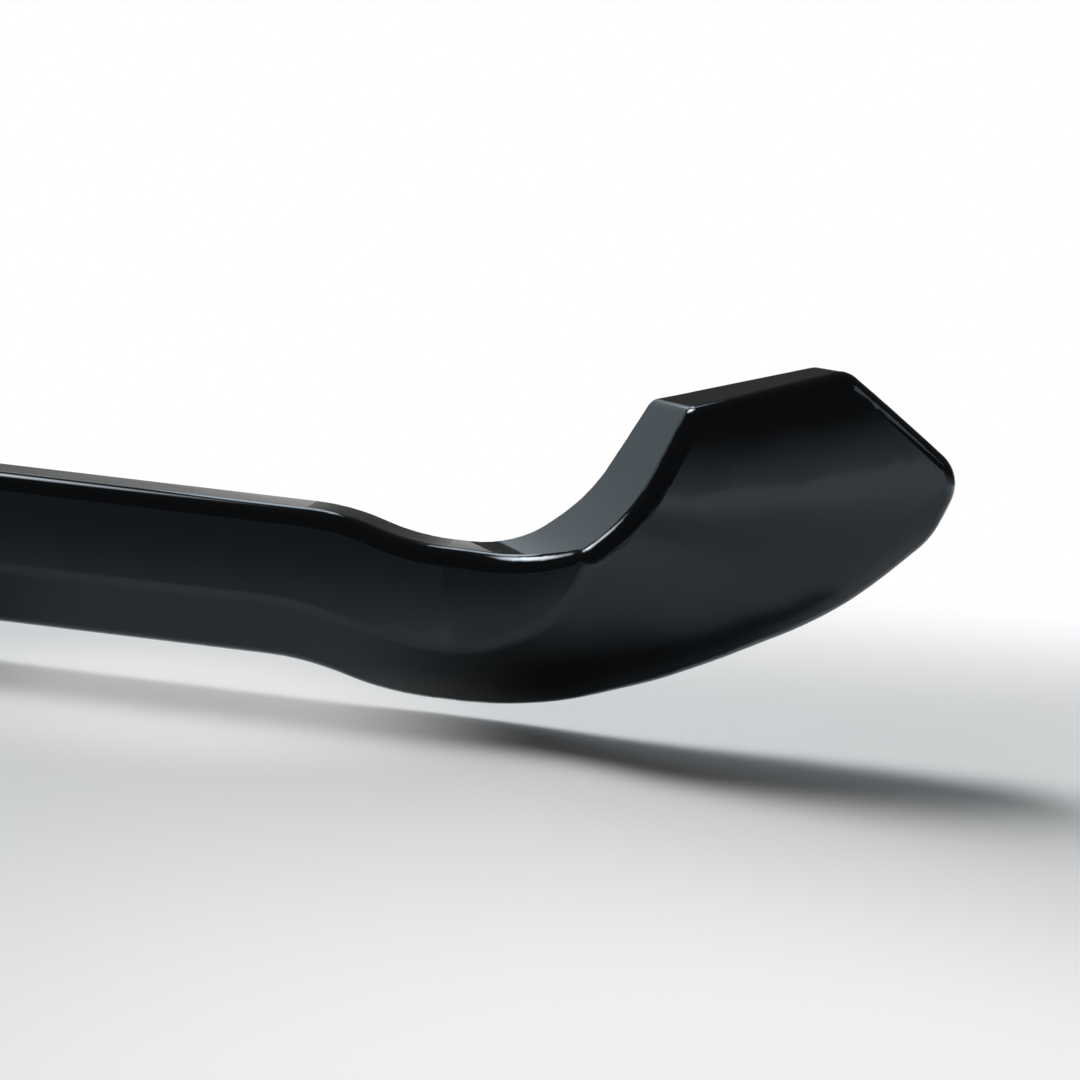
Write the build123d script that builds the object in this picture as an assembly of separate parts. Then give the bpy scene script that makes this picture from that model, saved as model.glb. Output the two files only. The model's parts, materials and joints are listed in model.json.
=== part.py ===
from build123d import *
import math
import os

# Brake lever guard: one moulded piece that bolts to the end of a handlebar and shields the lever.
# All lengths are millimetres and all angles are degrees.
# The origin is the centre of the bar-end bore, on the face that seats against the bar.
# X runs forward along the arm, Y points inwards to the lever, and Z is up.

# Bar-end boss
BOSS_DIAMETER = 32.0
BOSS_PROUD = 2.5
BOSS_EDGE_CHAMFER = 1.5
BORE_DIAMETER = 8.5
HEAD_RECESS_DIAMETER = 14.5
HEAD_RECESS_DEPTH = 8.5
HOLE_EDGE_CHAMFER = 0.6

# Straight arm
ARM_HEIGHT = 20.3
ARM_THICKNESS = 12.5
FRONT_DRAFT = 3.0

# Dip, where the arm steps down before the bend, sooner below than on top, and the level stretch after it
DIP_START = 73.0
DIP_LENGTH = 22.5
DIP_DROP = 3.4
TOP_DIP_LENGTH = 18.5
TOP_DIP_DROP = 2.9
LEVEL_LENGTH = 2.2

# Chamfer along the arm's lower front edge
CHAMFER_HEIGHT = 8.0
CHAMFER_ANGLE = 35.0
CREASE_DROP = 4.3

# Bend, where the arm's front face swings outwards, and the ridge at its end
BEND_RADIUS = 30.0
BEND_ANGLE = 30.0
RIDGE_SETBACK = 19.5
RIDGE_OUT = 18.1

# Paddle, in its own axes: along the face from the ridge, and up
PADDLE_TURN = 25.0
HEEL_SLOPE = 23.8
HEEL_RADIUS = 32.0
CHIN_ALONG = 36.2
CHIN_RADIUS = 50.0
LIP_ALONG = 48.1
LIP_UP = 13.9
LIP_RADIUS = 9.0
NOSE_ALONG = 51.2
NOSE_UP = 23.2
NOSE_RADIUS = 5.0
TOP_RIGHT_ALONG = 32.7
TOP_RIGHT_UP = 35.2
TOP_RIGHT_RADIUS = 3.5
TOP_LEFT_ALONG = 11.0
TOP_LEFT_UP = 28.4
TOP_LEFT_RADIUS = 2.0
KNEE_ALONG = 4.7
KNEE_RADIUS = 26.0
FOOT_SLOPE = 44.0
FOOT_RADIUS = 13.5

# Paddle face: its crown, and how softly the chamfer flows into it
CROWN_RADIUS = 90.0
CROWN_MIDDLE_UP = 13.5
CROWN_MIDDLE_ALONG = 20.0
CROWN_OUT = 1.0
FACE_BLEND = 3.0
EDGE_BLEND = 1.0
LOWER_ROLL_HEIGHT = 5.5
LOWER_ROLL_DEPTH = 1.8

# Back of the guard
BACK_BEND_SETBACK = 22.5
BACK_BEND_RADIUS = 60.0
BACK_TURN = 13.0

# Edge roundings
RIM_RADIUS = 2.2
FRONT_EDGE_RADIUS = 2.4
BACK_EDGE_RADIUS = 1.5
BOSS_JOINT_RADIUS = 3.0

# Reach of the cutting shapes past the guard
BEYOND = 60.0
# Reach of the arm's and the paddle's profile past the guard's back
PAST_BACK = 12.0
# Level run of the paddle's outline past the joint with the arm
LEVEL_MARGIN = 0.4
# Least room that is left between two roundings on one side of an outline
SIDE_SHARE = 1.02
# How far a face's outward direction leans to the front or back to count as a front or back face
FACING = 0.6
# Closeness of points that lie on the same edge, and the shares of an edge's length where they are taken
ON_EDGE = 0.02
EDGE_SHARES = (0.1, 0.5, 0.9)
# Spacing of the points that shape the paddle's face, their reach past the guard, and their tolerance
FACE_STEP = 4.0
FACE_MARGIN = 10.0
FACE_TOLERANCE = 0.01

boss_radius = BOSS_DIAMETER / 2
boss_length = ARM_THICKNESS + BOSS_PROUD
seat_plane = Plane(origin=(0, 0, 0), x_dir=(-1, 0, 0), z_dir=(0, -1, 0))
half_height = ARM_HEIGHT / 2
dip_end = DIP_START + DIP_LENGTH
low_top = half_height - TOP_DIP_DROP
low_bottom = -half_height - DIP_DROP
paddle_turn = math.radians(PADDLE_TURN)
paddle_forward = Vector(math.cos(paddle_turn), math.sin(paddle_turn), 0)
paddle_outward = Vector(math.sin(paddle_turn), -math.cos(paddle_turn), 0)
ridge = Vector(dip_end + RIDGE_SETBACK, -RIDGE_OUT, 0)
paddle_plane = Plane(origin=ridge, x_dir=paddle_forward, z_dir=paddle_outward)

# The plane where arm and paddle join stands halfway between their directions, on the level stretch
joint_normal = Vector(math.cos(paddle_turn / 2), math.sin(paddle_turn / 2), 0)
joint_plane = Plane(origin=(dip_end + LEVEL_LENGTH, -ARM_THICKNESS / 2, 0), z_dir=joint_normal)
joint_at_back = Vector(dip_end + LEVEL_LENGTH - ARM_THICKNESS / 2 * math.tan(paddle_turn / 2), 0, 0)
level_end = (joint_at_back - ridge).dot(paddle_forward) + LEVEL_MARGIN

# Corners of the paddle's outline that follow from its slopes
heel_along = level_end + HEEL_RADIUS * math.tan(math.radians(HEEL_SLOPE / 2))
chin_up = low_bottom + (CHIN_ALONG - heel_along) * math.tan(math.radians(HEEL_SLOPE))
foot_along = level_end + FOOT_RADIUS * math.tan(math.radians(FOOT_SLOPE / 2))
knee_up = low_top + (KNEE_ALONG - foot_along) * math.tan(math.radians(FOOT_SLOPE))


def smooth_step(x, start, length):
    """Rise from 0 to 1 over the given length, level at both ends."""
    t = min(max((x - start) / length, 0.0), 1.0)
    return t * t * (3.0 - 2.0 * t)


def rounded_face(corners):
    """Face of a closed outline, from (x, y, radius) corners. Roundings share a side too short for both."""
    count = len(corners)
    points = [Vector(x, y) for x, y, radius in corners]
    sides = [points[(i + 1) % count] - points[i] for i in range(count)]
    half_turns = [math.radians(sides[i - 1].get_angle(sides[i]) / 2) for i in range(count)]
    tangents = [corners[i][2] * math.tan(half_turns[i]) for i in range(count)]
    radii = []
    for i in range(count):
        before = (tangents[i - 1] + tangents[i]) / sides[i - 1].length
        after = (tangents[i] + tangents[(i + 1) % count]) / sides[i].length
        radii.append(corners[i][2] / max(1.0, before * SIDE_SHARE, after * SIDE_SHARE))
    return make_face(FilletPolyline(*points, radius=radii, close=True))


def dip_corners(length, drop):
    """Places of a dip's two corners, and their radius. It ends where the level stretch starts."""
    quarter = length / 4
    slope = math.atan2(drop, length / 2)
    return dip_end - length + quarter, dip_end - quarter, quarter / math.tan(slope / 2)


def arm_outline():
    """Side view of the arm: level, down through the dip, and level again."""
    end = dip_end + BEYOND / 2
    upper_start, upper_end, upper_radius = dip_corners(TOP_DIP_LENGTH, TOP_DIP_DROP)
    lower_start, lower_end, lower_radius = dip_corners(DIP_LENGTH, DIP_DROP)
    return rounded_face([
        (0, half_height, 0),
        (upper_start, half_height, upper_radius),
        (upper_end, low_top, upper_radius),
        (end, low_top, 0),
        (end, low_bottom, 0),
        (lower_end, low_bottom, lower_radius),
        (lower_start, -half_height, lower_radius),
        (0, -half_height, 0),
    ])


def paddle_outline():
    """Front view of the paddle, with the level stretch that joins it to the arm."""
    start = -BEYOND / 2
    return rounded_face([
        (start, low_bottom, 0),
        (heel_along, low_bottom, HEEL_RADIUS),
        (CHIN_ALONG, chin_up, CHIN_RADIUS),
        (LIP_ALONG, LIP_UP, LIP_RADIUS),
        (NOSE_ALONG, NOSE_UP, NOSE_RADIUS),
        (TOP_RIGHT_ALONG, TOP_RIGHT_UP, TOP_RIGHT_RADIUS),
        (TOP_LEFT_ALONG, TOP_LEFT_UP, TOP_LEFT_RADIUS),
        (KNEE_ALONG, knee_up, KNEE_RADIUS),
        (foot_along, low_top, FOOT_RADIUS),
        (start, low_top, 0),
    ])


def side_profile():
    """Arm and paddle, each extruded along its own face normal and joined where both are level."""
    arm = extrude(Plane.XZ.offset(-PAST_BACK) * arm_outline(), BEYOND)
    paddle = extrude(paddle_plane.offset(-RIDGE_OUT - PAST_BACK) * paddle_outline(), BEYOND)
    return split(arm, joint_plane, Keep.BOTTOM) + split(paddle, joint_plane, Keep.TOP)


def back_keep():
    """Everything in front of the guard's back, which is flat and then turns in behind the paddle."""
    reach = 2 * BEYOND
    bend_x = dip_end + BACK_BEND_SETBACK
    end_y = reach * math.tan(math.radians(BACK_TURN))
    plan = rounded_face([
        (-BEYOND, 0, 0),
        (bend_x, 0, BACK_BEND_RADIUS),
        (bend_x + reach, end_y, 0),
        (bend_x + reach, -reach, 0),
        (-BEYOND, -reach, 0),
    ])
    return extrude(plan, BEYOND, both=True)


def front_cut():
    """Everything in front of the arm's drafted front face and the bend."""
    base = low_bottom / 2
    reach = 2 * BEYOND
    corner_x = dip_end + BEND_RADIUS * math.tan(math.radians(BEND_ANGLE / 2))
    end_x = corner_x + reach
    end_y = -ARM_THICKNESS - reach * math.tan(math.radians(BEND_ANGLE))
    plan = rounded_face([
        (-reach, -ARM_THICKNESS, 0),
        (corner_x, -ARM_THICKNESS, BEND_RADIUS),
        (end_x, end_y, 0),
        (end_x, reach, 0),
        (-reach, reach, 0),
    ])
    behind = extrude(Plane.XY.offset(base) * plan, BEYOND, taper=FRONT_DRAFT)
    block = extrude(Plane.XY.offset(base) * Rectangle(3 * reach, 3 * reach), BEYOND)
    return block - behind


def soft_max(a, b, softness):
    """The larger of two values, with the change from one to the other rounded off."""
    return (a + b) / 2 + math.hypot((a - b) / 2, softness)


def lower_edge(along):
    """Height of the guard's lower edge below a point of the paddle's face."""
    chin_slope = (LIP_UP - chin_up) / (LIP_ALONG - CHIN_ALONG)
    underside = low_bottom + math.tan(math.radians(HEEL_SLOPE)) * (along - heel_along)
    front = chin_up + chin_slope * (along - CHIN_ALONG)
    return soft_max(soft_max(low_bottom, underside, EDGE_BLEND), front, EDGE_BLEND)


def face_y(x, z):
    """Depth of the lower front surface: the arm's chamfer, flowing into the paddle's crowned face."""
    dip = smooth_step(x, DIP_START, DIP_LENGTH)
    crease = -half_height + CHAMFER_HEIGHT - CREASE_DROP * dip
    chamfer = -ARM_THICKNESS - (z - crease) * math.tan(math.radians(CHAMFER_ANGLE))
    along = (x - ridge.X) / math.cos(paddle_turn)
    rise = (TOP_RIGHT_UP - TOP_LEFT_UP) / (TOP_RIGHT_ALONG - TOP_LEFT_ALONG)
    off_middle = z - CROWN_MIDDLE_UP - rise * (along - CROWN_MIDDLE_ALONG)
    crown = off_middle**2 / (2 * CROWN_RADIUS)
    paddle = ridge.Y - CROWN_OUT + along * math.sin(paddle_turn) + crown
    above_edge = z - lower_edge(along)
    roll = smooth_step(LOWER_ROLL_HEIGHT - above_edge, 0, 2 * LOWER_ROLL_HEIGHT)
    return soft_max(chamfer, paddle, FACE_BLEND) + 2 * LOWER_ROLL_DEPTH * dip * roll


def face_cut():
    """Everything in front of the chamfer and the paddle's face."""
    start = -boss_radius - FACE_MARGIN
    end = ridge.X + NOSE_ALONG + FACE_MARGIN
    bottom = low_bottom - FACE_MARGIN
    top = TOP_RIGHT_UP + FACE_MARGIN
    across = math.ceil((end - start) / FACE_STEP)
    up = math.ceil((top - bottom) / FACE_STEP)
    rows = []
    for i in range(across + 1):
        x = start + (end - start) * i / across
        heights = [bottom + (top - bottom) * j / up for j in range(up + 1)]
        rows.append([(x, face_y(x, z), z) for z in heights])
    surface = Face.make_surface_from_array_of_points(rows, tol=FACE_TOLERANCE)
    return Solid.extrude(surface, Vector(0, -2 * BEYOND, 0))


def outward(face):
    """Outward direction at the middle of a face."""
    return face.normal_at(face.center()) if face.geom_type == GeomType.PLANE else face.normal_at()


def open_edges(faces):
    """Edges on the outside of a group of faces, without those inside the group and at the arm's root."""
    edges = faces.edges()
    inner = [edge for edge in edges if sum(edge in face.edges() for face in faces) > 1]
    root = [edge for edge in edges if abs(edge.center().X) < ON_EDGE]
    return edges - ShapeList(inner) - ShapeList(root)


def spots(edge):
    """Points near both ends and in the middle of an edge."""
    return [edge @ share for share in EDGE_SHARES]


def still_there(solid, edges):
    """Edges of a solid that lie on edges found before another rounding was made."""
    found = []
    for edge in solid.edges():
        if any(all(old.distance_to(spot) < ON_EDGE for spot in spots(edge)) for old in edges):
            found.append(edge)
    return found


def rounded_blade():
    """Arm and paddle in one, with every front edge rounded."""
    blade = side_profile() & back_keep()
    blade = (blade - front_cut() - face_cut()).solid()
    lower_face = blade.faces().filter_by(GeomType.BSPLINE)
    flat_faces = blade.faces() - lower_face
    front_faces = flat_faces.filter_by(lambda face: outward(face).Y < -FACING)
    crease = lower_face.edges() & front_faces.edges()
    rim = open_edges(lower_face) - crease
    front_edges = open_edges(lower_face + front_faces) - rim + crease
    blade = blade.fillet(RIM_RADIUS, rim)
    return blade.fillet(FRONT_EDGE_RADIUS, still_there(blade, front_edges))


def bar_end_boss():
    """Round boss that seats against the end of the bar, with its outer edge chamfered."""
    boss = extrude(seat_plane * Circle(boss_radius), boss_length)
    return chamfer(boss.edges().group_by(Axis.Y)[0], BOSS_EDGE_CHAMFER)


def bolt_hole():
    """Bore for the bar-end bolt, with a recess for its head and a small chamfer at the recess's mouth."""
    bore = BORE_DIAMETER / 2
    recess = HEAD_RECESS_DIAMETER / 2
    recess_floor = boss_length - HEAD_RECESS_DEPTH
    half_section = Polyline(
        (0, 0),
        (bore, 0),
        (bore, recess_floor),
        (recess, recess_floor),
        (recess, boss_length - HOLE_EDGE_CHAMFER),
        (recess + HOLE_EDGE_CHAMFER, boss_length),
        (0, boss_length),
        close=True,
    )
    return seat_plane * revolve(Plane.XZ * make_face(half_section), Axis.Z)


def boss_joint(solid):
    """Edges where the arm runs out of the boss's round side, between its seat and its outer edge."""
    outer_edge = BOSS_EDGE_CHAMFER - boss_length
    found = []
    for edge in solid.edges():
        on_side = all(abs(math.hypot(spot.X, spot.Z) - boss_radius) < ON_EDGE for spot in spots(edge))
        depth = (edge @ 0.5).Y
        if on_side and outer_edge + ON_EDGE < depth < -ON_EDGE:
            found.append(edge)
    return found


guard = (rounded_blade() + bar_end_boss()).solid()
guard = guard.fillet(BOSS_JOINT_RADIUS, boss_joint(guard))
back_faces = guard.faces().filter_by(lambda face: outward(face).Y > FACING)
guard = guard.fillet(BACK_EDGE_RADIUS, open_edges(back_faces))
guard -= bolt_hole()

os.makedirs("parts", exist_ok=True)
export_step(guard, "parts/lever_guard.step")
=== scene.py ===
"""Brake lever guard in a small photo studio: a black moulded guard on a pale paper floor, in soft light.

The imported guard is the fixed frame. It keeps its shape and gets its moulded finish here, and the studio,
its lamps and the camera are built around it. All lengths are metres, in the guard's own frame: X runs
forward along the arm, Y inwards to the lever, and Z up. Angles are degrees, and a heading is the angle of
a level direction to the right of straight behind the guard.
"""

import json
import logging
import math
from dataclasses import dataclass, field, replace
from enum import Enum

import bpy
from mathutils import Matrix, Vector

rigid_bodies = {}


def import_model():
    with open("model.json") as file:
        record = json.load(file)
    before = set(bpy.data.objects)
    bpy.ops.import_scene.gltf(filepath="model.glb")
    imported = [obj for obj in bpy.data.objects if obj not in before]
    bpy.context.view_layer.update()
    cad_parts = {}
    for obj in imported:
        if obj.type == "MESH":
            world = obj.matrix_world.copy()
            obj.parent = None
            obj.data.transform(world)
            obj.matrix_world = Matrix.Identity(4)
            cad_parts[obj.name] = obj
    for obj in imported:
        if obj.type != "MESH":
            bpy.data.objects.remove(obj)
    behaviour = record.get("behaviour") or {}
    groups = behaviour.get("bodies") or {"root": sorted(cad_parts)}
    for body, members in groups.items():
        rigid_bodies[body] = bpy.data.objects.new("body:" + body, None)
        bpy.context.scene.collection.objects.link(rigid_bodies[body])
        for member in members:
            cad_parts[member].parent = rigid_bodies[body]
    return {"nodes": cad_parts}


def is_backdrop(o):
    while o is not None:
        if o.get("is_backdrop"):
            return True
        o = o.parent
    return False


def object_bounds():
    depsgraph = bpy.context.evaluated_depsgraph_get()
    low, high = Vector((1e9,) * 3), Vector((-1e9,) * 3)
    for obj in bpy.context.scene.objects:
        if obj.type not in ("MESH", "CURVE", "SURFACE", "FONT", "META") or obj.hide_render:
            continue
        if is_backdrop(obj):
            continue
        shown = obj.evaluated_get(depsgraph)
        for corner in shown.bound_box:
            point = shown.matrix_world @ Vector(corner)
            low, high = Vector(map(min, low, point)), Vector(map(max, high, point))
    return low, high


LOG = logging.getLogger("lever_guard_scene")
MM = 0.001
HALF_TURN = 180.0

Colour = tuple[float, float, float]
Point = tuple[float, float, float]

WHITE: Colour = (1.0, 1.0, 1.0)
COOL_WHITE: Colour = (0.80, 0.93, 1.0)
UP: Point = (0.0, 0.0, 1.0)


class Node(Enum):
    """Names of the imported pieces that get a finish."""

    GUARD = "lever_guard"


class NoiseUse(Enum):
    """What a layer of noise does to a moulded surface."""

    GLOSS = "gloss"
    WAVES = "waves"
    PEEL = "peel"


class Operation(Enum):
    """Ways to take several values together."""

    SUM = "ADD"
    PRODUCT = "MULTIPLY"
    LARGEST = "MAXIMUM"


class SightRay(Enum):
    """Rays that show a surface: straight on, mirrored, or through something clear."""

    CAMERA = "Is Camera Ray"
    GLOSSY = "Is Glossy Ray"
    TRANSMISSION = "Is Transmission Ray"


def opaque(colour: Colour) -> tuple[float, float, float, float]:
    """Give a colour its full alpha."""
    return (*colour, 1.0)


def level_direction(heading: float) -> Point:
    """Work out the level direction of unit length that a heading names."""
    return math.sin(math.radians(heading)), math.cos(math.radians(heading)), 0.0


def combine(
    tree: bpy.types.NodeTree, operation: Operation, values: list[bpy.types.NodeSocket]
) -> bpy.types.NodeSocket:
    """Add an operation that takes several values together, kept between 0 and 1.

    Args:
        tree: The node tree.
        operation: The operation.
        values: The values, in the order in which they are taken.

    Returns:
        The socket that gives the result.
    """
    result = values[0]
    for value in values[1:]:
        node = tree.nodes.new("ShaderNodeMath")
        node.operation = operation.value
        node.use_clamp = True
        tree.links.new(result, node.inputs[0])
        tree.links.new(value, node.inputs[1])
        result = node.outputs["Value"]
    return result


def soft_step(
    tree: bpy.types.NodeTree, source: bpy.types.NodeSocket, start: float, end: float, height: float = 1.0
) -> bpy.types.NodeSocket:
    """Add a soft step between two values.

    Args:
        tree: The node tree.
        source: The value that is stepped.
        start: Value where the step gives 0.
        end: Value where it gives its height, over or under the start.
        height: Height of the step.

    Returns:
        The socket that gives the step.
    """
    step = tree.nodes.new("ShaderNodeMapRange")
    step.interpolation_type = "SMOOTHSTEP"
    step.inputs["From Min"].default_value = min(start, end)
    step.inputs["From Max"].default_value = max(start, end)
    step.inputs["To Min"].default_value = 0.0 if end > start else height
    step.inputs["To Max"].default_value = height if end > start else 0.0
    tree.links.new(source, step.inputs["Value"])
    return step.outputs["Result"]


def along(tree: bpy.types.NodeTree, source: bpy.types.NodeSocket, axis: Point) -> bpy.types.NodeSocket:
    """Add the part of a vector that lies along an axis.

    Args:
        tree: The node tree.
        source: The vector.
        axis: The axis, of unit length.

    Returns:
        The socket that gives that part.
    """
    product = tree.nodes.new("ShaderNodeVectorMath")
    product.operation = "DOT_PRODUCT"
    product.inputs[1].default_value = axis
    tree.links.new(source, product.inputs[0])
    return product.outputs["Value"]


def seen_share(tree: bpy.types.NodeTree) -> bpy.types.NodeSocket:
    """Add a share that is 1 where something is seen, and 0 where it would give light."""
    path = tree.nodes.new("ShaderNodeLightPath")
    return combine(tree, Operation.SUM, [path.outputs[ray.value] for ray in SightRay])


@dataclass(frozen=True)
class NoiseLayer:
    """One layer of noise over the surface.

    Attributes:
        use: What the layer changes.
        pitch: Distance from one lump of the noise to the next.
        detail: Octaves of finer noise on top.
        height: Height of the bump that it makes, or 0 for none.
    """

    use: NoiseUse
    pitch: float
    detail: float
    height: float = 0.0


@dataclass(frozen=True)
class MouldedPlastic:
    """Semi-gloss black plastic, as it comes out of a polished mould.

    Attributes:
        name: Name of the material.
        colour: Colour of the plastic under its gloss.
        sheen_tint: Tint of the gloss where the surface is looked at squarely.
        ior: Refractive index of the plastic.
        gloss_range: Lowest and highest roughness over the surface.
        gloss: Noise that moves the roughness between the two.
        waves: Slow unevenness that the mould's polishing leaves.
        peel: Fine texture of the skin.
    """

    name: str = "moulding"
    colour: Colour = (0.003, 0.003, 0.0034)
    sheen_tint: Colour = (0.72, 0.87, 1.0)
    ior: float = 1.54
    gloss_range: tuple[float, float] = (0.07, 0.10)
    gloss: NoiseLayer = NoiseLayer(NoiseUse.GLOSS, pitch=14 * MM, detail=3.0)
    waves: NoiseLayer = NoiseLayer(NoiseUse.WAVES, pitch=9 * MM, detail=1.0, height=0.008 * MM)
    peel: NoiseLayer = NoiseLayer(NoiseUse.PEEL, pitch=0.5 * MM, detail=2.0, height=0.0005 * MM)

    def build(self) -> bpy.types.Material:
        """Make the material.

        Returns:
            The finished material.
        """
        material = bpy.data.materials.new(self.name)
        material.use_nodes = True
        tree = material.node_tree
        shader = tree.nodes["Principled BSDF"]
        shader.inputs["Base Color"].default_value = opaque(self.colour)
        shader.inputs["Specular Tint"].default_value = opaque(self.sheen_tint)
        shader.inputs["IOR"].default_value = self.ior
        gloss = self._noise(tree, self.gloss)
        roughness = tree.nodes.new("ShaderNodeMapRange")
        lowest, highest = self.gloss_range
        roughness.inputs["To Min"].default_value = lowest
        roughness.inputs["To Max"].default_value = highest
        tree.links.new(gloss.outputs["Fac"], roughness.inputs["Value"])
        tree.links.new(roughness.outputs["Result"], shader.inputs["Roughness"])
        waves = self._bump(tree, self.waves)
        peel = self._bump(tree, self.peel)
        tree.links.new(waves.outputs["Normal"], peel.inputs["Normal"])
        tree.links.new(peel.outputs["Normal"], shader.inputs["Normal"])
        return material

    def _noise(self, tree: bpy.types.NodeTree, layer: NoiseLayer) -> bpy.types.Node:
        """Add a noise texture on the piece's own coordinates.

        Args:
            tree: The material's node tree.
            layer: The layer that the noise is for.

        Returns:
            The noise node.
        """
        place = tree.nodes.new("ShaderNodeTexCoord")
        noise = tree.nodes.new("ShaderNodeTexNoise")
        noise.name = layer.use.value
        noise.inputs["Scale"].default_value = 1.0 / layer.pitch
        noise.inputs["Detail"].default_value = layer.detail
        tree.links.new(place.outputs["Object"], noise.inputs["Vector"])
        return noise

    def _bump(self, tree: bpy.types.NodeTree, layer: NoiseLayer) -> bpy.types.Node:
        """Add a bump that follows a layer of noise.

        Args:
            tree: The material's node tree.
            layer: The layer that gives the noise and its height.

        Returns:
            The bump node.
        """
        noise = self._noise(tree, layer)
        bump = tree.nodes.new("ShaderNodeBump")
        bump.inputs["Strength"].default_value = 1.0
        bump.inputs["Distance"].default_value = layer.height
        tree.links.new(noise.outputs["Fac"], bump.inputs["Height"])
        return bump


@dataclass(frozen=True)
class WhitePatch:
    """A soft round patch of the paper that turns plain white, or all the paper outside one.

    Attributes:
        middle: Middle of the patch.
        paper_radius: Distance from there where the paper is as the lamps light it.
        white_radius: Distance from there where the white is full.
        strength: Share of white where it is full.
    """

    middle: Point
    paper_radius: float
    white_radius: float
    strength: float = 1.0

    def share(self, tree: bpy.types.NodeTree) -> bpy.types.NodeSocket:
        """Add the share of white.

        Args:
            tree: The material's node tree.

        Returns:
            The socket that gives the share.
        """
        place = tree.nodes.new("ShaderNodeTexCoord")
        reach = tree.nodes.new("ShaderNodeVectorMath")
        reach.operation = "DISTANCE"
        reach.inputs[1].default_value = self.middle
        tree.links.new(place.outputs["Object"], reach.inputs[0])
        return soft_step(tree, reach.outputs["Value"], self.paper_radius, self.white_radius, self.strength)


@dataclass(frozen=True)
class WhiteSide:
    """The paper past a straight soft edge, which turns plain white.

    Attributes:
        heading: Heading of the white side.
        paper_at: Distance in that direction where the paper is as the lamps light it.
        white_at: Distance where the white is full.
        strength: Share of white where it is full.
    """

    heading: float
    paper_at: float
    white_at: float
    strength: float = 1.0

    def share(self, tree: bpy.types.NodeTree) -> bpy.types.NodeSocket:
        """Add the share of white.

        Args:
            tree: The material's node tree.

        Returns:
            The socket that gives the share.
        """
        place = tree.nodes.new("ShaderNodeTexCoord")
        reach = along(tree, place.outputs["Object"], level_direction(self.heading))
        return soft_step(tree, reach, self.paper_at, self.white_at, self.strength)


@dataclass(frozen=True)
class StudioPaper:
    """Matt pale paper of the floor, which turns plain white in soft patches: white backdrop to the right
    and behind, a trace of white away from the guard, and painted pools of light in front of the paddle and
    under the arm.

    Attributes:
        name: Name of the material.
        colour: Colour of the paper.
        roughness: Roughness of the paper.
        shine: Level of the paper's mirror-like shine.
        right: White paper to the right of the guard.
        behind: White paper behind it.
        surround: Trace of white over all the paper but that at the guard.
        front: Painted pool of light on the paper in front of the paddle, which the paddle mirrors.
        under_arm_painted_fill: Painted fill light under the arm, a pale patch that lightens the guard's
            shadow on the paper there and that the arm's lower face mirrors.
    """

    name: str = "studio_paper"
    colour: Colour = (0.86, 0.87, 0.88)
    roughness: float = 0.9
    shine: float = 0.0
    right: WhiteSide = WhiteSide(heading=68.0, paper_at=0.14, white_at=0.40)
    behind: WhitePatch = WhitePatch(
        middle=(0.0, 1.20, 0.0), paper_radius=1.19, white_radius=1.04
    )
    surround: WhitePatch = WhitePatch(
        middle=(0.13, -0.02, 0.0), paper_radius=0.10, white_radius=0.30, strength=0.12
    )
    # Painted light: a pool of white on the paper in front of the paddle, seen and mirrored by the paddle,
    # lighting nothing.
    front: WhitePatch = WhitePatch(
        middle=(0.145, -0.15, 0.0), paper_radius=0.135, white_radius=0.04, strength=0.7
    )
    # Painted fill light: lightens the guard's shadow on the paper under the arm, where the arm's lower face
    # mirrors it.
    under_arm_painted_fill: WhitePatch = WhitePatch(
        middle=(0.064, -0.01, 0.0), paper_radius=0.05, white_radius=0.02, strength=0.42
    )

    def build(self) -> bpy.types.Material:
        """Make the material.

        Returns:
            The finished material.
        """
        material = bpy.data.materials.new(self.name)
        material.use_nodes = True
        tree = material.node_tree
        shader = tree.nodes["Principled BSDF"]
        shader.inputs["Base Color"].default_value = opaque(self.colour)
        shader.inputs["Roughness"].default_value = self.roughness
        shader.inputs["Specular IOR Level"].default_value = self.shine
        white = tree.nodes.new("ShaderNodeEmission")
        white.inputs["Color"].default_value = opaque(WHITE)
        mix = tree.nodes.new("ShaderNodeMixShader")
        tree.links.new(self._whiteness(tree), mix.inputs["Fac"])
        tree.links.new(shader.outputs["BSDF"], mix.inputs[1])
        tree.links.new(white.outputs["Emission"], mix.inputs[2])
        tree.links.new(mix.outputs["Shader"], tree.nodes["Material Output"].inputs["Surface"])
        return material

    def _whiteness(self, tree: bpy.types.NodeTree) -> bpy.types.NodeSocket:
        """Add the share of plain white, which shows where the paper is seen and lights nothing; in front of
        the paddle and under the arm it is painted light.

        Args:
            tree: The material's node tree.

        Returns:
            The socket that gives the share.
        """
        patches = (self.right, self.behind, self.surround, self.front, self.under_arm_painted_fill)
        white = combine(tree, Operation.LARGEST, [patch.share(tree) for patch in patches])
        return combine(tree, Operation.PRODUCT, [white, seen_share(tree)])


@dataclass
class LeverGuard:
    """The moulded guard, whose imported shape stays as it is.

    Attributes:
        finish: Finish of the whole moulding.
    """

    finish: MouldedPlastic = field(default_factory=MouldedPlastic)

    def dress(self, nodes: dict[str, bpy.types.Object]) -> bpy.types.Object:
        """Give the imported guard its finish.

        Args:
            nodes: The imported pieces, by name.

        Returns:
            The guard.
        """
        guard = nodes[Node.GUARD.value]
        guard.material_slots[0].material = self.finish.build()
        return guard


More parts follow.
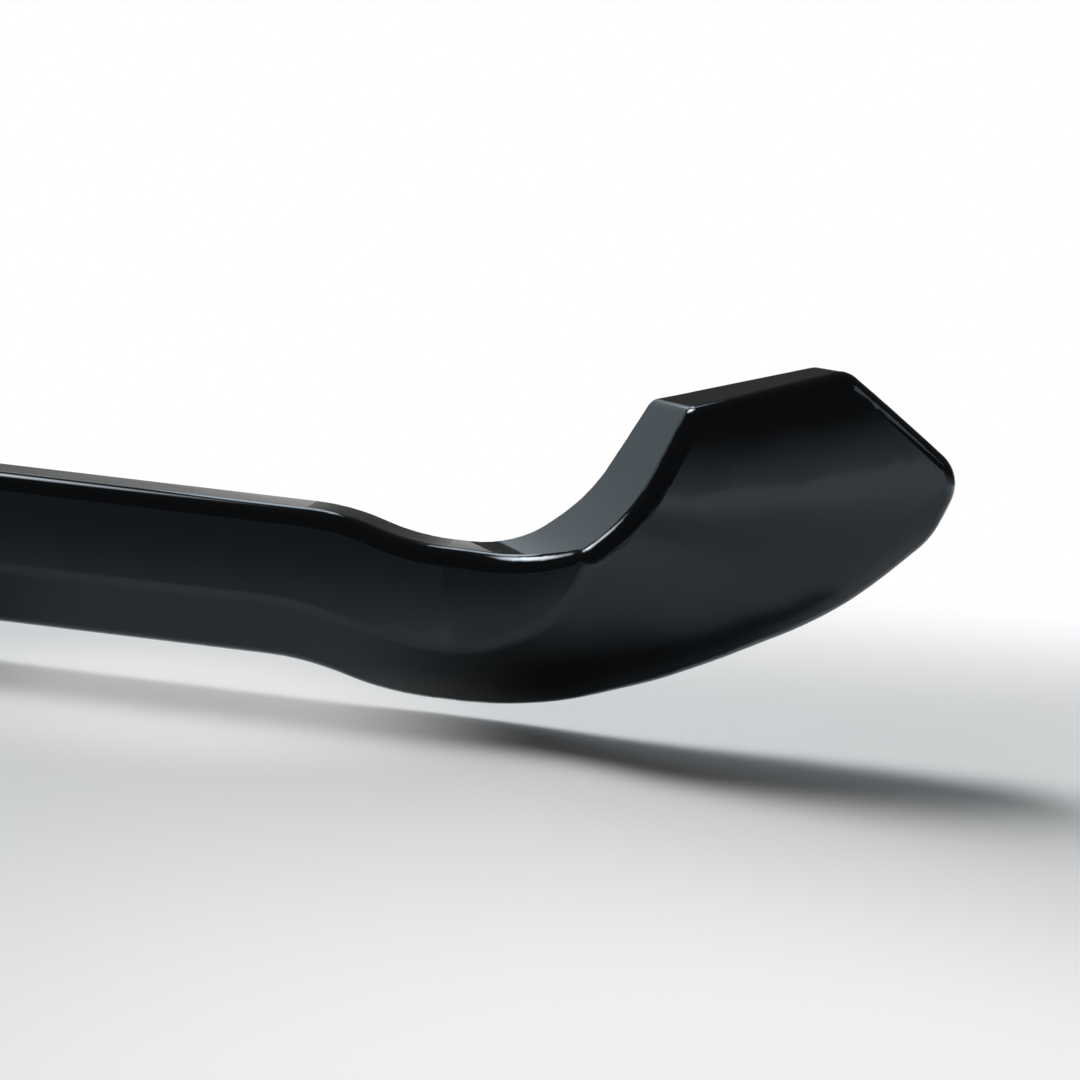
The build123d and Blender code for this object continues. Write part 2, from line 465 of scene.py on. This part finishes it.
@dataclass
class PaperFloor:
    """Pale paper floor under the guard.

    Attributes:
        width: Width of the floor.
        front_y: Place of its front edge.
        back_y: Place of its back edge.
        gap: Gap between the floor and the lowest point of the guard.
        finish: Finish of the paper.
    """

    width: float = 5.0
    front_y: float = -3.0
    back_y: float = 1.0
    gap: float = 0.2 * MM
    finish: StudioPaper = field(default_factory=StudioPaper)

    def build(self, low: Vector, high: Vector) -> bpy.types.Object:
        """Model the floor under the guard.

        Args:
            low: Lowest corner of the guard.
            high: Highest corner of the guard.

        Returns:
            The floor.
        """
        bpy.ops.object.select_all(action="DESELECT")
        bpy.ops.mesh.primitive_plane_add(size=1.0)
        floor = bpy.context.object
        floor.name = "paper_floor"
        floor.scale = (self.width, self.back_y - self.front_y, 1.0)
        floor.location = ((low.x + high.x) / 2, (self.back_y + self.front_y) / 2, low.z - self.gap)
        bpy.ops.object.transform_apply(location=True, rotation=True, scale=True)
        floor.data.materials.append(self.finish.build())
        floor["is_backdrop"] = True
        return floor


@dataclass(frozen=True)
class SoftBox:
    """A rectangular soft lamp.

    Attributes:
        name: Name of the lamp.
        place: Its place.
        aim: The point that it faces.
        width: Its width.
        height: Its height.
        watts: Its power.
        spread: Angle of its cone of light, narrowed by a grid if under a half turn.
        tint: Colour of its light.
    """

    name: str
    place: Point
    aim: Point
    width: float
    height: float
    watts: float
    spread: float = HALF_TURN
    tint: Colour = WHITE

    def build(self) -> bpy.types.Object:
        """Hang the lamp in the studio.

        Returns:
            The lamp.
        """
        bpy.ops.object.select_all(action="DESELECT")
        bpy.ops.object.light_add(type="AREA", location=self.place)
        lamp = bpy.context.object
        lamp.name = self.name
        lamp.data.shape = "RECTANGLE"
        lamp.data.size = self.width
        lamp.data.size_y = self.height
        lamp.data.energy = self.watts
        lamp.data.color = self.tint
        lamp.data.spread = math.radians(self.spread)
        facing = Vector(self.aim) - Vector(self.place)
        lamp.rotation_euler = facing.to_track_quat("-Z", "Y").to_euler()
        return lamp


@dataclass(frozen=True)
class PaleWall:
    """A pale wall far off in the room, which shows where it is seen or mirrored and lights nothing.

    Attributes:
        colour: Colour of the wall.
        heading: Heading of its middle.
        half_width: Half its width as seen from the guard, over a half turn for a wall all round.
        side_fade: Angle over which each side fades out.
        full_below: Angle along its up direction under which the wall shows fully.
        gone_above: Angle over which it doesn't show.
        up: Direction from which its upper edge is measured.
    """

    colour: Colour
    heading: float
    half_width: float
    side_fade: float
    full_below: float
    gone_above: float
    up: Point = UP

    def share(self, tree: bpy.types.NodeTree) -> bpy.types.NodeSocket:
        """Add the wall's share of what shows in each direction.

        Args:
            tree: The world's node tree.

        Returns:
            The socket that gives the share.
        """
        direction = tree.nodes.new("ShaderNodeTexCoord").outputs["Generated"]
        sideways = along(tree, direction, level_direction(self.heading))
        gone_side = self._side(self.half_width + self.side_fade)
        sides = soft_step(tree, sideways, gone_side, self._side(self.half_width))
        gone = math.sin(math.radians(self.gone_above))
        full = math.sin(math.radians(self.full_below))
        height = soft_step(tree, along(tree, direction, self.up), gone, full)
        return combine(tree, Operation.PRODUCT, [sides, height, seen_share(tree)])

    def _side(self, angle: float) -> float:
        """Work out the part of a side's direction that lies along the middle, under -1 past a half turn."""
        return math.cos(math.radians(angle)) if angle < HALF_TURN else -angle / HALF_TURN


@dataclass(frozen=True)
class PhotoCamera:
    """The camera, at the photograph's viewing angle.

    Attributes:
        azimuth: Angle of the camera round the guard from straight in front.
        elevation: Angle above the horizon.
        roll: Turn of the camera about its line of sight.
        target: Point of the guard at the middle of the image.
        distance: Distance from that point.
        near: Distance under which nothing shows.
        focal_pixels: Focal length in pixels of the image.
        image_pixels: Width and height of the image in pixels.
        sensor: Width of the sensor, in millimetres.
    """

    azimuth: float = 3.0
    elevation: float = 7.1
    roll: float = 6.4
    target: Point = (107.5 * MM, -15.0 * MM, 10.17 * MM)
    distance: float = 262 * MM
    near: float = 2.6 * MM
    focal_pixels: float = 2100.0
    image_pixels: float = 1080.0
    sensor: float = 36.0

    def axes(self) -> Matrix:
        """Work out the camera's axes.

        Returns:
            The matrix whose columns point right, up and backwards from the camera.
        """
        turn = math.radians(self.azimuth)
        lift = math.radians(self.elevation)
        right = Vector((math.cos(turn), math.sin(turn), 0.0))
        outwards = Vector((math.sin(turn), -math.cos(turn), 0.0))
        back = math.cos(lift) * outwards + math.sin(lift) * Vector(UP)
        upright = Matrix((right, back.cross(right), back)).transposed()
        return upright @ Matrix.Rotation(math.radians(self.roll), 3, "Z")

    def frame_top(self) -> Vector:
        """Work out the direction square to the plane of the image's top edge, up and out of the image."""
        half_view = math.atan2(self.image_pixels / 2, self.focal_pixels)
        return self.axes() @ Vector((0.0, math.cos(half_view), math.sin(half_view)))

    def build(self) -> bpy.types.Object:
        """Set the camera up and make it the scene's own.

        Returns:
            The camera.
        """
        axes = self.axes()
        eye = Vector(self.target) + self.distance * axes.col[2]
        bpy.ops.object.camera_add()
        camera = bpy.context.object
        camera.name = "photo_camera"
        camera.matrix_world = Matrix.Translation(eye) @ axes.to_4x4()
        camera.data.sensor_width = self.sensor
        camera.data.lens = self.sensor * self.focal_pixels / self.image_pixels
        camera.data.clip_start = self.near
        bpy.context.scene.camera = camera
        return camera


@dataclass
class Studio:
    """The dim room, its pale walls and the soft lamps.

    Attributes:
        room: Colour of the dim room.
        around: Grey wall all round.
        right_front: Pale wall to the right and in front, which the paddle mirrors.
        behind: White wall behind the guard, which fills the image.
        lamps: The soft lamps.
    """

    room: Colour = (0.07, 0.07, 0.07)
    around: PaleWall = PaleWall(
        colour=(0.19, 0.19, 0.19),
        heading=0.0,
        half_width=190.0,
        side_fade=10.0,
        full_below=-2.0,
        gone_above=9.5,
    )
    right_front: PaleWall = PaleWall(
        colour=(0.65, 0.65, 0.65),
        heading=118.0,
        half_width=30.0,
        side_fade=25.0,
        full_below=-2.0,
        gone_above=9.5,
    )
    behind: PaleWall = PaleWall(
        colour=WHITE,
        heading=-4.0,
        half_width=32.0,
        side_fade=10.0,
        full_below=-0.05,
        gone_above=0.3,
    )
    lamps: tuple[SoftBox, ...] = (
        SoftBox(
            name="key_box",
            place=(-0.338, 0.265, 0.738),
            aim=(0.12, -0.03, -0.016),
            width=0.56,
            height=0.56,
            watts=0.72,
            spread=38.0,
        ),
        SoftBox(
            name="back_left_box",
            place=(-0.295, 0.495, 0.281),
            aim=(0.12, 0.0, 0.01),
            width=0.73,
            height=0.228,
            watts=0.32,
            tint=COOL_WHITE,
        ),
        SoftBox(
            name="dip_strip",
            place=(0.005, 0.39, 0.345),
            aim=(0.10, 0.0, 0.0),
            width=0.12,
            height=0.22,
            watts=0.23,
            tint=COOL_WHITE,
        ),
        SoftBox(
            name="right_box",
            place=(0.597, -0.108, 0.257),
            aim=(0.165, 0.0, 0.03),
            width=0.16,
            height=0.12,
            watts=0.055,
        ),
    )

    def build(self, frame_top: Vector) -> None:
        """Set up the room and hang its lamps.

        Args:
            frame_top: Direction square to the image's top edge, up to which the wall behind shows.
        """
        world = bpy.data.worlds.new("studio_room")
        world.use_nodes = True
        tree = world.node_tree
        view = None
        for wall in (self.around, self.right_front, replace(self.behind, up=tuple(frame_top))):
            view = self._add_wall(tree, view, wall)
        tree.links.new(view, tree.nodes["Background"].inputs["Color"])
        bpy.context.scene.world = world
        for lamp in self.lamps:
            lamp.build()
            LOG.info("lamp %s", lamp.name)

    def _add_wall(
        self, tree: bpy.types.NodeTree, view: bpy.types.NodeSocket | None, wall: PaleWall
    ) -> bpy.types.NodeSocket:
        """Set a wall in front of what shows so far.

        Args:
            tree: The world's node tree.
            view: What shows so far, or None for the bare room.
            wall: The wall.

        Returns:
            The socket that gives what shows then.
        """
        mix = tree.nodes.new("ShaderNodeMix")
        mix.data_type = "RGBA"
        mix.inputs["A"].default_value = opaque(self.room)
        mix.inputs["B"].default_value = opaque(wall.colour)
        tree.links.new(wall.share(tree), mix.inputs["Factor"])
        if view is not None:
            tree.links.new(view, mix.inputs["A"])
        return mix.outputs["Result"]


def clear_scene() -> None:
    """Delete what a new file starts with."""
    bpy.ops.object.select_all(action="SELECT")
    bpy.ops.object.delete()


def main() -> None:
    """Build the guard's looks and its studio."""
    logging.basicConfig(level=logging.INFO, format="%(name)s: %(message)s")
    clear_scene()
    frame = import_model()
    low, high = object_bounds()
    guard = LeverGuard().dress(frame["nodes"])
    LOG.info("piece %s dressed in %s", guard.name, guard.material_slots[0].material.name)
    floor = PaperFloor().build(low, high)
    LOG.info("stage %s", floor.name)
    camera = PhotoCamera()
    LOG.info("camera %s", camera.build().name)
    Studio().build(camera.frame_top())
    bpy.context.scene.view_settings.view_transform = "Standard"


if __name__ == "__main__":
    main()
